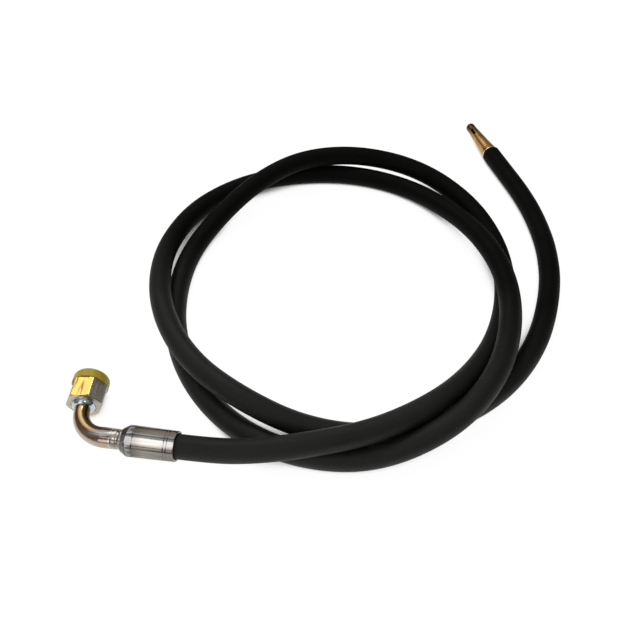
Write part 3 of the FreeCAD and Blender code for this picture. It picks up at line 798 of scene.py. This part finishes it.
def useGroup(tree, group, place, result="Mask", **values):
    node = tree.nodes.new("ShaderNodeGroup")
    node.node_tree = group
    return feed(node, {"Place": place, **values}).outputs[result]


def objectSpace(tree):
    return addNode(tree, "TexCoord").outputs["Object"]


def pieceSpace(tree, place):
    # object coordinates in the piece's own axes, +Y along it
    return addNode(tree, "Mapping", {
        "Vector": objectSpace(tree), "Location": place.to_translation(), "Rotation": place.to_euler(),
    }, vector_type="TEXTURE").outputs["Vector"]


# streaks drawn out along the piece's Y axis
def makeStreakGroup():
    group, given, end = newGroup("Streaks", {"Fineness": 900, "Stretch": 0.05, "Low": 0.3, "High": 0.7})
    squeeze = addNode(group, "CombineXYZ", {"X": 1, "Y": given["Stretch"], "Z": 1}).outputs[0]
    drawn = addNode(group, "VectorMath", {0: given["Place"], 1: squeeze}, operation="MULTIPLY").outputs[0]
    fine = noise(group, drawn, given["Fineness"], 3, 0.55)
    feed(end, {"Mask": spread(group, fine, given["Low"], given["High"])})
    return group


# broad soft patches
def makePatchGroup():
    group, given, end = newGroup("Patches", {"Size": 60, "Low": 0.3, "High": 0.7})
    broad = noise(group, given["Place"], given["Size"], 4, 0.6)
    feed(end, {"Mask": spread(group, broad, given["Low"], given["High"])})
    return group


# rubbed edges, broken up by noise
def makeEdgeGroup():
    group, given, end = newGroup("RubbedEdges", {"Start": 0.52, "End": 0.6, "Breakup": 400})
    edge = spread(group, addNode(group, "NewGeometry").outputs["Pointiness"], given["Start"], given["End"])
    broken = times(group, edge, noise(group, given["Place"], given["Breakup"], 3))
    lifted = addNode(group, "Clamp", {"Value": times(group, broken, 1.8)})
    feed(end, {"Mask": lifted.outputs["Result"]})
    return group


# dust that settles on what faces up
def makeDustGroup():
    group, given, end = newGroup("SettledDust", {"Amount": 0.3, "Speckle": 700})
    up = spread(group, axes(group, addNode(group, "NewGeometry").outputs["Normal"])["Z"], 0.1)
    fine = noise(group, given["Place"], given["Speckle"], 5)
    broad = noise(group, given["Place"], 45, 2)
    level = spread(group, times(group, fine, broad), 0.18, 0.45)
    fallen = times(group, level, up)
    feed(end, {"Mask": times(group, fallen, given["Amount"])})
    return group


# which of a piece's flats a point is on, counted from the piece's +Z towards its +X
def makeFlatGroup():
    group, given, end = newGroup("FlatTones", {"Count": 6, "Turn": 0}, ("Tone", "Round"))
    spot = axes(group, given["Place"])
    angle = math2(group, "ARCTAN2", spot["X"], spot["Z"])
    turned = math2(group, "ADD", math2(group, "DIVIDE", angle, math.tau), given["Turn"])
    share = math2(group, "FRACT", turned)
    number = math2(group, "FLOOR", times(group, share, given["Count"]))
    # a tenth of a flat keeps the tone clear of the step between two colours
    tone = math2(group, "DIVIDE", math2(group, "ADD", number, 0.1), given["Count"])
    feed(end, {"Tone": tone, "Round": share})
    return group


streaks = makeStreakGroup()
patches = makePatchGroup()
rubbedEdges = makeEdgeGroup()
settledDust = makeDustGroup()
flatTones = makeFlatGroup()
print("shared shader groups made")


# materials
hoseRubber = {
    "dark": (0.0040, 0.0042, 0.0038),
    # the pale tone is painted light, shown near the fitting
    "pale": (0.0110, 0.0113, 0.0100),
    "dust": (0.028, 0.027, 0.023),
    "dustAmount": 0.16,
    "paintedLightSlant": 0.25,
    "paintedLight": (0.165, 0.03),
    "gloss": (0.05, 0.33),
    "glossTint": (1, 1, 0.93, 1),
    "rough": (0.52, 0.68),
    "wrapPitch": 0.034,
    "crease": ((0, grey(0.2)), (0.03, grey(1)), (0.5, grey(0.85)), (0.97, grey(1)), (1, grey(0.2))),
    "creaseHeight": 0.00012,
    "grainHeight": 0.00008,
}


def makeHoseRubber():
    tones = hoseRubber
    material, tree, shader = newMaterial("HoseRubber")
    coordinates = addNode(tree, "TexCoord").outputs
    place = coordinates["Object"]
    # painted light: the hose is painted paler and glossier near the fitting, on the camera's side, and
    # almost black on the coil's far side
    spot = axes(tree, place)
    depth = math2(tree, "ADD", spot["Y"], times(tree, spot["X"], tones["paintedLightSlant"]))
    paintedLight = spread(tree, depth, *tones["paintedLight"])
    mottle = useGroup(tree, patches, place, Size=38)
    pale = mixColour(tree, paintedLight, tones["dark"], tones["pale"])
    dust = useGroup(tree, settledDust, place, Amount=tones["dustAmount"], Speckle=600)
    # the settled dust shows only where the painted light is
    settled = times(tree, dust, paintedLight)
    # the wrap's crease runs round the hose on the piece's own UV map: X round it, Y along it
    around = axes(tree, coordinates["UV"])
    turns = math2(tree, "DIVIDE", around["Y"], tones["wrapPitch"])
    wrap = math2(tree, "FRACT", math2(tree, "ADD", turns, around["X"]))
    grain = bump(tree, noise(tree, place, 1400, 4), tones["grainHeight"])
    feed(shader, {
        "Base Color": mixColour(tree, settled, mixColour(tree, mottle, tones["dark"], pale), tones["dust"]),
        "Roughness": between(tree, mottle, tones["rough"]),
        "Specular IOR Level": between(tree, paintedLight, tones["gloss"]),
        "Specular Tint": tones["glossTint"],
        "Normal": bump(tree, ramp(tree, wrap, tones["crease"]), tones["creaseHeight"], 0.6, Normal=grain),
    })
    return material


# the plated pieces' places, their tones along the drawn streaks and the tint of the passivate
platedTones = {
    "ferrule": {"dark": (0.42, 0.41, 0.4), "pale": (0.86, 0.85, 0.84), "tint": (0.42, 0.36, 0.3),
                "place": tailPlace, "share": 0.3, "fineness": 620, "stretch": 0.05, "rough": (0.14, 0.28)},
    # the tube's brown tones are a painted reflection of warm surroundings
    "tube": {"dark": (0.26, 0.16, 0.09), "pale": (0.5, 0.36, 0.25), "tint": (0.4, 0.22, 0.09),
             "place": lean, "share": 0.7, "fineness": 300, "stretch": 0.5, "rough": (0.14, 0.24)},
    "hub": {"dark": (0.42, 0.5, 0.52), "pale": (0.66, 0.74, 0.78), "tint": (0.4, 0.4, 0.4),
            "place": lean, "share": 0.3, "fineness": 300, "stretch": 0.4, "rough": (0.12, 0.2)},
    "stem": {"dark": (0.24, 0.23, 0.21), "pale": (0.46, 0.44, 0.41), "tint": (0.34, 0.27, 0.2),
             "place": tailPlace, "share": 0.4, "fineness": 420, "stretch": 0.3, "rough": (0.16, 0.28)},
}
wornZinc = (0.72, 0.7, 0.66)
streakHeight = 0.00003


def wearEdges(tree, local, colour, bare):
    worn = useGroup(tree, rubbedEdges, local, Start=0.53, End=0.62, Breakup=500)
    return mixColour(tree, worn, colour, bare)


def tailRound(tree, local):
    # how far round the tail a point is, counted from the edge before the ferrule's top flat
    turn = 0.5 / ferrule["flats"] + fitting["flatTurn"] / 360
    return useGroup(tree, flatTones, local, result="Round", Count=ferrule["flats"], Turn=turn)


def makePlated(name):
    tones = platedTones[name]
    material, tree, shader = newMaterial("Zinc" + name.capitalize(), metallic=1)
    local = pieceSpace(tree, tones["place"])
    drawn = useGroup(tree, streaks, local, Fineness=tones["fineness"], Stretch=tones["stretch"])
    broad = useGroup(tree, patches, local, Size=90, Low=0.35, High=0.65)
    colour = mixColour(tree, drawn, tones["dark"], tones["pale"])
    colour = mixColour(tree, times(tree, broad, tones["share"]), colour, tones["tint"])
    if name in painters:
        colour = painters[name](tree, local, colour)
    feed(shader, {
        "Base Color": wearEdges(tree, local, colour, wornZinc),
        "Roughness": between(tree, drawn, tones["rough"]),
        "Normal": bump(tree, drawn, streakHeight),
    })
    return material


# painted light: the ferrule's painted highlights and shades go round it, flat by flat, from the upper edge
# of its top flat towards the camera's side; the white band is a painted reflection
ferrulePaintedLight = {
    "share": 0.9,
    "round": (
        (0, (0.16, 0.12, 0.085)), (0.07, (0.19, 0.16, 0.12)), (0.11, (0.27, 0.29, 0.27)),
        (0.124, (0.2, 0.2, 0.19)), (0.128, (0.8, 0.8, 0.79)), (0.16, (1, 0.99, 0.97)),
        (0.195, (1, 0.98, 0.97)), (0.222, (0.42, 0.36, 0.32)), (0.247, (0.2, 0.18, 0.16)),
        (0.252, (0.34, 0.33, 0.3)), (0.33, (0.36, 0.34, 0.3)), (0.374, (0.34, 0.3, 0.25)),
        (0.378, (0.42, 0.29, 0.16)), (0.5, (0.45, 0.36, 0.26)), (0.85, (0.4, 0.34, 0.27)),
        (1, (0.18, 0.14, 0.1)),
    ),
    "along": ((0.12, grey(0.58)), (0.26, grey(0.62)), (0.45, grey(1)), (0.7, grey(0.95)),
              (0.8, grey(0.84)), (1, grey(0.82))),
    "teeth": 16,
    "toothStart": 0.005,
    "toothReach": (0.0055, 0.0092),
    "toothShade": (0.34, 0.37, 0.4),
    "toothShare": 0.6,
    "lineShade": (0.1, 0.09, 0.085),
    "lineShare": 0.55,
    "lineReach": 0.0003,
}


def paintFerrule(tree, local, colour):
    # painted light: each pressed flat is painted with its own tone of painted highlight and shade
    paint = ferrulePaintedLight
    turned = tailRound(tree, local)
    colour = mixColour(tree, paint["share"], colour, ramp(tree, turned, paint["round"]), "MULTIPLY")
    along = axes(tree, local)["Y"]
    # the ferrule is painted darker towards its nose and a little darker towards its rear
    wash = ramp(tree, spread(tree, along, end=fitting["ferruleLength"] * mm), paint["along"])
    colour = mixColour(tree, 1, colour, wash, "MULTIPLY")
    # short blue-grey teeth run in from the nose
    tooth = math2(tree, "PINGPONG", times(tree, turned, paint["teeth"]), 0.5)
    reach = spread(tree, tooth, 0, 0.5, *paint["toothReach"])
    toothed = times(tree, math2(tree, "LESS_THAN", along, reach),
                    math2(tree, "GREATER_THAN", along, paint["toothStart"]))
    colour = mixColour(tree, times(tree, toothed, paint["toothShare"]), colour, paint["toothShade"])
    # painted shade: the scribed grooves are painted dark
    for line in ferrule["lines"]:
        scribed = times(tree, near(tree, along, line * mm, paint["lineReach"]), paint["lineShare"])
        colour = mixColour(tree, scribed, colour, paint["lineShade"])
    return colour


# painted light: the tube's painted highlight and shade bands go across it, from the outer side of its bend
# to the inner side
tubePaintedLight = {
    "share": 0.85,
    "bend": (
        (0, (0.5, 0.44, 0.37)), (0.18, (0.48, 0.36, 0.27)), (0.38, (0.22, 0.12, 0.055)),
        (0.47, (0.26, 0.15, 0.07)), (0.53, (0.44, 0.32, 0.17)), (0.58, (0.42, 0.33, 0.17)),
        (0.68, (0.24, 0.19, 0.07)), (0.82, (0.09, 0.07, 0.02)), (1, (0.2, 0.16, 0.14)),
    ),
    "straight": (
        (0, (0.46, 0.37, 0.3)), (0.08, (0.34, 0.27, 0.23)), (0.14, (0.15, 0.12, 0.11)),
        (0.24, (0.22, 0.19, 0.18)), (0.28, (0.8, 0.76, 0.76)), (0.4, (0.8, 0.79, 0.8)),
        (0.46, (0.2, 0.2, 0.2)), (0.62, (0.13, 0.12, 0.11)), (1, (0.3, 0.26, 0.22)),
    ),
    "silver": (0.010, 0.021),
}


def paintTube(tree, local, colour):
    # painted reflection: the tube is painted with warm bronze reflections round its bend, and runs out to
    # silver at the stem
    paint = tubePaintedLight
    spot = axes(tree, local)
    away = distance(tree, math2(tree, "SUBTRACT", spot["X"], bendCentre.x),
                    math2(tree, "SUBTRACT", spot["Y"], bendCentre.y))
    radius, tube = fitting["elbowRadius"], coneNipple["tube"] / 2
    across = spread(tree, away, (radius + tube) * mm, (radius - tube) * mm)
    onward = spread(tree, spot["X"], *paint["silver"])
    tone = mixColour(tree, onward, ramp(tree, across, paint["bend"]), ramp(tree, across, paint["straight"]))
    return mixColour(tree, paint["share"], colour, tone)


# painted light: painted highlight and shade bands round the stem's boss and collar, from above towards the
# camera's side
stemPaintedLight = {
    "share": 0.85,
    "round": (
        (0, (0.26, 0.22, 0.19)), (0.05, (0.3, 0.26, 0.22)), (0.1, (0.62, 0.59, 0.54)),
        (0.17, (0.66, 0.62, 0.57)), (0.21, (0.3, 0.28, 0.24)), (0.3, (0.26, 0.24, 0.2)),
        (0.36, (0.48, 0.42, 0.35)), (0.5, (0.4, 0.34, 0.27)), (0.9, (0.36, 0.31, 0.26)),
        (1, (0.26, 0.22, 0.19)),
    ),
}


def paintStem(tree, local, colour):
    tone = ramp(tree, tailRound(tree, local), stemPaintedLight["round"])
    return mixColour(tree, stemPaintedLight["share"], colour, tone)


painters = {"ferrule": paintFerrule, "tube": paintTube, "stem": paintStem}


goldPassivate = {
    # the nut's flats, from its top one round towards +X: gold passivate, each flat painted with its own
    # painted reflection
    "flats": (
        (0.86, 0.54, 0.12), (0.74, 0.72, 0.66), (0.46, 0.28, 0.12), (0.8, 0.55, 0.14), (0.45, 0.4, 0.26),
        (0.82, 0.48, 0.27),
    ),
    "paintedReflectionFlat": 1,
    "paintedReflectionClean": 0.75,
    "paintedReflectionDull": 0.2,
    "blotch": (0.42, 0.3, 0.2),
    "blotchShare": 0.45,
    "scratch": (0.3, 0.16, 0.05),
    "rearReflection": (0.46, 0.42, 0.35),
    "rearReflectionShare": 0.85,
    "rearReflectionDepth": 0.25,
    "worn": (0.62, 0.5, 0.34),
    "rough": (0.18, 0.36),
}


def makeGoldPassivate():
    tones = goldPassivate
    count = len(tones["flats"])
    material, tree, shader = newMaterial("GoldPassivate", metallic=1)
    local = pieceSpace(tree, nutPlace)
    flat = useGroup(tree, flatTones, local, result="Tone", Count=count, Turn=0.5 / count)
    stops = [(index / count, shade) for index, shade in enumerate(tones["flats"])]
    tone = ramp(tree, flat, stops, "CONSTANT")
    broad = useGroup(tree, patches, local, Size=95, Low=0.35)
    colour = mixColour(tree, times(tree, broad, tones["blotchShare"]), tone, tones["blotch"])
    drawn = useGroup(tree, streaks, local, Fineness=420, Stretch=0.12, Low=0.54, High=0.66)
    # painted reflection: the flat that shows a grey painted reflection has fewer of the brown scratches and
    # is a little duller
    side = near(tree, flat, (tones["paintedReflectionFlat"] + 0.1) / count, 0.5 / count)
    kept = math2(tree, "SUBTRACT", 1, times(tree, side, tones["paintedReflectionClean"]))
    colour = mixColour(tree, times(tree, drawn, kept), colour, tones["scratch"])
    rough = between(tree, drawn, tones["rough"])
    # painted reflection: the rear face is painted with more of a pale zinc tone, a painted reflection of
    # bright light
    face = (tones["rearReflectionDepth"] - fitting["nutLength"]) * mm
    rear = math2(tree, "LESS_THAN", axes(tree, local)["Y"], face)
    colour = mixColour(tree, times(tree, rear, tones["rearReflectionShare"]), colour, tones["rearReflection"])
    grain = useGroup(tree, streaks, local, Fineness=1500, Stretch=0.05)
    feed(shader, {
        "Base Color": wearEdges(tree, local, colour, tones["worn"]),
        "Roughness": math2(tree, "ADD", rough, times(tree, side, tones["paintedReflectionDull"])),
        "Normal": bump(tree, grain, streakHeight),
    })
    return material


nozzleBrass = {
    "dark": (0.34, 0.18, 0.05),
    "bright": (0.56, 0.33, 0.12),
    "tipTone": (0.1, 0.052, 0.018),
    "tipReach": (0.028, 0.044),
    "boreShade": (0.03, 0.018, 0.008),
    "boreShadeInset": (0.8, 0.6),
    "flange": (0.8, 0.66, 0.46),
    "rough": (0.2, 0.36),
    "ringHeight": 0.00002,
}


def makeBrass():
    tones = nozzleBrass
    material, tree, shader = newMaterial("NozzleBrass", metallic=1)
    local = pieceSpace(tree, nozzlePlace)
    broad = useGroup(tree, patches, local, Size=110, Low=0.35, High=0.65)
    spot = axes(tree, local)
    along = spot["Y"]
    # the nozzle is darker towards its tip
    tip = spread(tree, along, *tones["tipReach"])
    colour = mixColour(tree, tip, mixColour(tree, broad, tones["dark"], tones["bright"]), tones["tipTone"])
    # painted shade: the bore and the walls of the ports are painted dark
    atBase, atNeck = tones["boreShadeInset"]
    cone = spread(tree, along, end=(nozzle["length"] - nozzle["noseLength"]) * mm,
                  low=(nozzle["base"] / 2 - atBase) * mm, high=(nozzle["neck"] / 2 - atNeck) * mm)
    inside = math2(tree, "LESS_THAN", distance(tree, spot["X"], spot["Z"]), cone)
    inside = times(tree, inside, math2(tree, "LESS_THAN", along, tones["tipReach"][1]))
    colour = mixColour(tree, inside, colour, tones["boreShade"])
    flange = math2(tree, "LESS_THAN", along, nozzle["flange"] * mm)
    turned = useGroup(tree, streaks, local, Fineness=60, Stretch=60)
    feed(shader, {
        "Base Color": mixColour(tree, flange, colour, tones["flange"]),
        "Roughness": between(tree, turned, tones["rough"]),
        "Normal": bump(tree, turned, tones["ringHeight"], 0.6),
    })
    return material


capPlastic = {
    "dark": (0.48, 0.36, 0.018),
    "bright": (0.66, 0.52, 0.030),
    "rough": (0.28, 0.42),
    "glow": 0.15,
    "glowDepth": 0.002,
    "grainHeight": 0.00004,
}


def makeCapPlastic():
    tones = capPlastic
    material, tree, shader = newMaterial("CapPlastic")
    place = objectSpace(tree)
    broad = useGroup(tree, patches, place, Size=90)
    feed(shader, {
        "Base Color": mixColour(tree, broad, tones["dark"], tones["bright"]),
        "Roughness": between(tree, broad, tones["rough"]),
        "Subsurface Weight": tones["glow"],
        "Subsurface Scale": tones["glowDepth"],
        "Normal": bump(tree, noise(tree, place, 900, 3), tones["grainHeight"], 0.4),
    })
    return material


def makeInnerRubber(name, dark, pale):
    material, tree, shader = newMaterial(name)
    broad = useGroup(tree, patches, objectSpace(tree), Size=200)
    feed(shader, {
        "Base Color": mixColour(tree, broad, dark, pale),
        "Roughness": between(tree, broad, (0.4, 0.6)),
    })
    return material


braid = {
    "wire": (0.5, 0.46, 0.38),
    "gap": (0.16, 0.14, 0.11),
    "scale": 900,
    "rough": (0.3, 0.55),
    "height": 0.0002,
}


def makeBraidWire():
    material, tree, shader = newMaterial("BraidWire", metallic=1)
    weave = addNode(tree, "TexVoronoi", {"Vector": objectSpace(tree), "Scale": braid["scale"]})
    cell = weave.outputs["Distance"]
    feed(shader, {
        "Base Color": mixColour(tree, cell, braid["wire"], braid["gap"]),
        "Roughness": between(tree, cell, braid["rough"]),
        "Normal": bump(tree, cell, braid["height"], 0.8),
    })
    return material


rubber = makeHoseRubber()
plated = {name: makePlated(name) for name in platedTones}
gold = makeGoldPassivate()
brass = makeBrass()
capYellow = makeCapPlastic()
linerRubber = makeInnerRubber("LinerRubber", (0.007, 0.007, 0.007), (0.014, 0.014, 0.013))
sealRubber = makeInnerRubber("SealRubber", (0.01, 0.01, 0.01), (0.02, 0.02, 0.02))
braidWire = makeBraidWire()
print("materials made")


hosePiece = makeHose()
makeNut()
makeCap()
makeNipple()
makeElbow()
makeStem()
makeFerrule()
nozzlePiece = makeNozzle()


# finishes of the pieces that stay as they are
keptFinishes = {
    "retaining_wire": plated["stem"],
    "seat_o_ring": sealRubber,
    "liner_at_ferrule": linerRubber,
    "braid_at_ferrule": braidWire,
    "cover_at_ferrule": rubber,
    "liner_at_nozzle": linerRubber,
    "braid_at_nozzle": braidWire,
}
for node, material in keptFinishes.items():
    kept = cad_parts[node].data.materials
    kept.clear()
    kept.append(material)
print("kept nodes dressed:", len(keptFinishes))


# studio
studio = {
    "cameraPlace": (0.1721, -0.25465, 0.39563),
    "cameraTilt": 38.5,
    "lens": 34.99,
    "floorSize": 6,
    "floorMiddle": (0.18, 0.1),
    "floorDrop": 0.0001,
    "floorShade": 0.8,
    "floorGlow": 0.93,
    "floorFaint": 0.2,
    "shadowReach": 0.03,
    "shadowSpan": (0.16, 0.38),
    "shadowLeast": 0.02,
    "sky": ((0, grey(0.3)), (0.3, (0.17, 0.15, 0.13)), (0.7, grey(0.34)), (1, grey(0.55))),
    # each lamp has its place, what it aims at, its size and its power
    "lamps": {
        "back": ((-0.35, 0.85, 0.86), (0, 0, 0), (0.9, 0.7), 2.8),
        "front": ((-0.5, -1.1, 0.55), (0.05, -0.05, 0), (0.6, 0.5), 1.7),
        "near": ((0.28, -0.42, 0.64), (0, 0, 0), (0.08, 0.08), 0.2),
        "spot": ((0.12, 0.62, 0.75), (0, 0, 0), (0.12, 0.12), 0.6),
        "left": ((-0.17, -0.3, 0.5), (0.05, -0.05, 0), (0.22, 0.16), 0.19),
    },
}


def makeFloor():
    shape = bmesh.new()
    bmesh.ops.create_grid(shape, x_segments=1, y_segments=1, size=studio["floorSize"] / 2)
    middle = (*studio["floorMiddle"], floorLevel - studio["floorDrop"])
    bmesh.ops.translate(shape, vec=middle, verts=shape.verts[:])
    mesh = meshFrom(shape, "floor")
    material = bpy.data.materials.new("PaleFloor")
    tree = emptyTree(material)
    plain = addNode(tree, "BsdfDiffuse", {"Color": (*grey(studio["floorShade"]), 1)})
    # the floor is white, with a tight dark shadow under the hose and in the slits between its loops
    clear = addNode(tree, "AmbientOcclusion", {"Distance": studio["shadowReach"]}).outputs["AO"]
    lit = spread(tree, clear, *studio["shadowSpan"], low=studio["shadowLeast"])
    shade = mixColour(tree, lit, (0, 0, 0), grey(studio["floorFaint"]))
    faint = addNode(tree, "BsdfDiffuse", {"Color": shade})
    strength = times(tree, lit, studio["floorGlow"])
    glow = addNode(tree, "Emission", {"Color": (1, 1, 1, 1), "Strength": strength})
    shown = addNode(tree, "AddShader", {0: faint.outputs[0], 1: glow.outputs[0]})
    rays = addNode(tree, "LightPath").outputs
    seen = math2(tree, "MAXIMUM", rays["Is Camera Ray"], rays["Is Transmission Ray"])
    seen = math2(tree, "MAXIMUM", seen, rays["Is Glossy Ray"])
    mixed = addNode(tree, "MixShader", {0: seen, 1: plain.outputs[0], 2: shown.outputs[0]})
    addNode(tree, "OutputMaterial", {"Surface": mixed.outputs[0]})
    mesh.materials.append(material)
    addObject("floor", mesh)


def makeLamp(name, place, aim, size, power):
    lamp = bpy.data.lights.new(name, "AREA")
    lamp.shape = "RECTANGLE"
    lamp.size, lamp.size_y = size
    lamp.energy = power
    holder = addObject(name, lamp)
    holder.location = place
    holder.rotation_euler = (Vector(aim) - Vector(place)).to_track_quat("-Z", "Y").to_euler()


def makeWorld():
    world = bpy.data.worlds.new("studio")
    scene.world = world
    tree = emptyTree(world)
    height = axes(tree, addNode(tree, "TexCoord").outputs["Generated"])["Z"]
    around = addNode(tree, "Background", {"Color": ramp(tree, height, studio["sky"])})
    white = addNode(tree, "Background", {"Color": (1, 1, 1, 1)})
    seen = addNode(tree, "LightPath").outputs["Is Camera Ray"]
    mixed = addNode(tree, "MixShader", {0: seen, 1: around.outputs[0], 2: white.outputs[0]})
    addNode(tree, "OutputWorld", {"Surface": mixed.outputs[0]})


def makeCamera():
    lens = bpy.data.cameras.new("camera")
    lens.lens = studio["lens"]
    lens.sensor_width = 36
    holder = addObject("camera", lens)
    holder.location = studio["cameraPlace"]
    holder.rotation_euler = (math.radians(studio["cameraTilt"]), 0, 0)
    scene.camera = holder


makeFloor()
for name, settings in studio["lamps"].items():
    makeLamp(name, *settings)
makeWorld()
makeCamera()
scene.view_settings.view_transform = "Standard"
print("studio set")
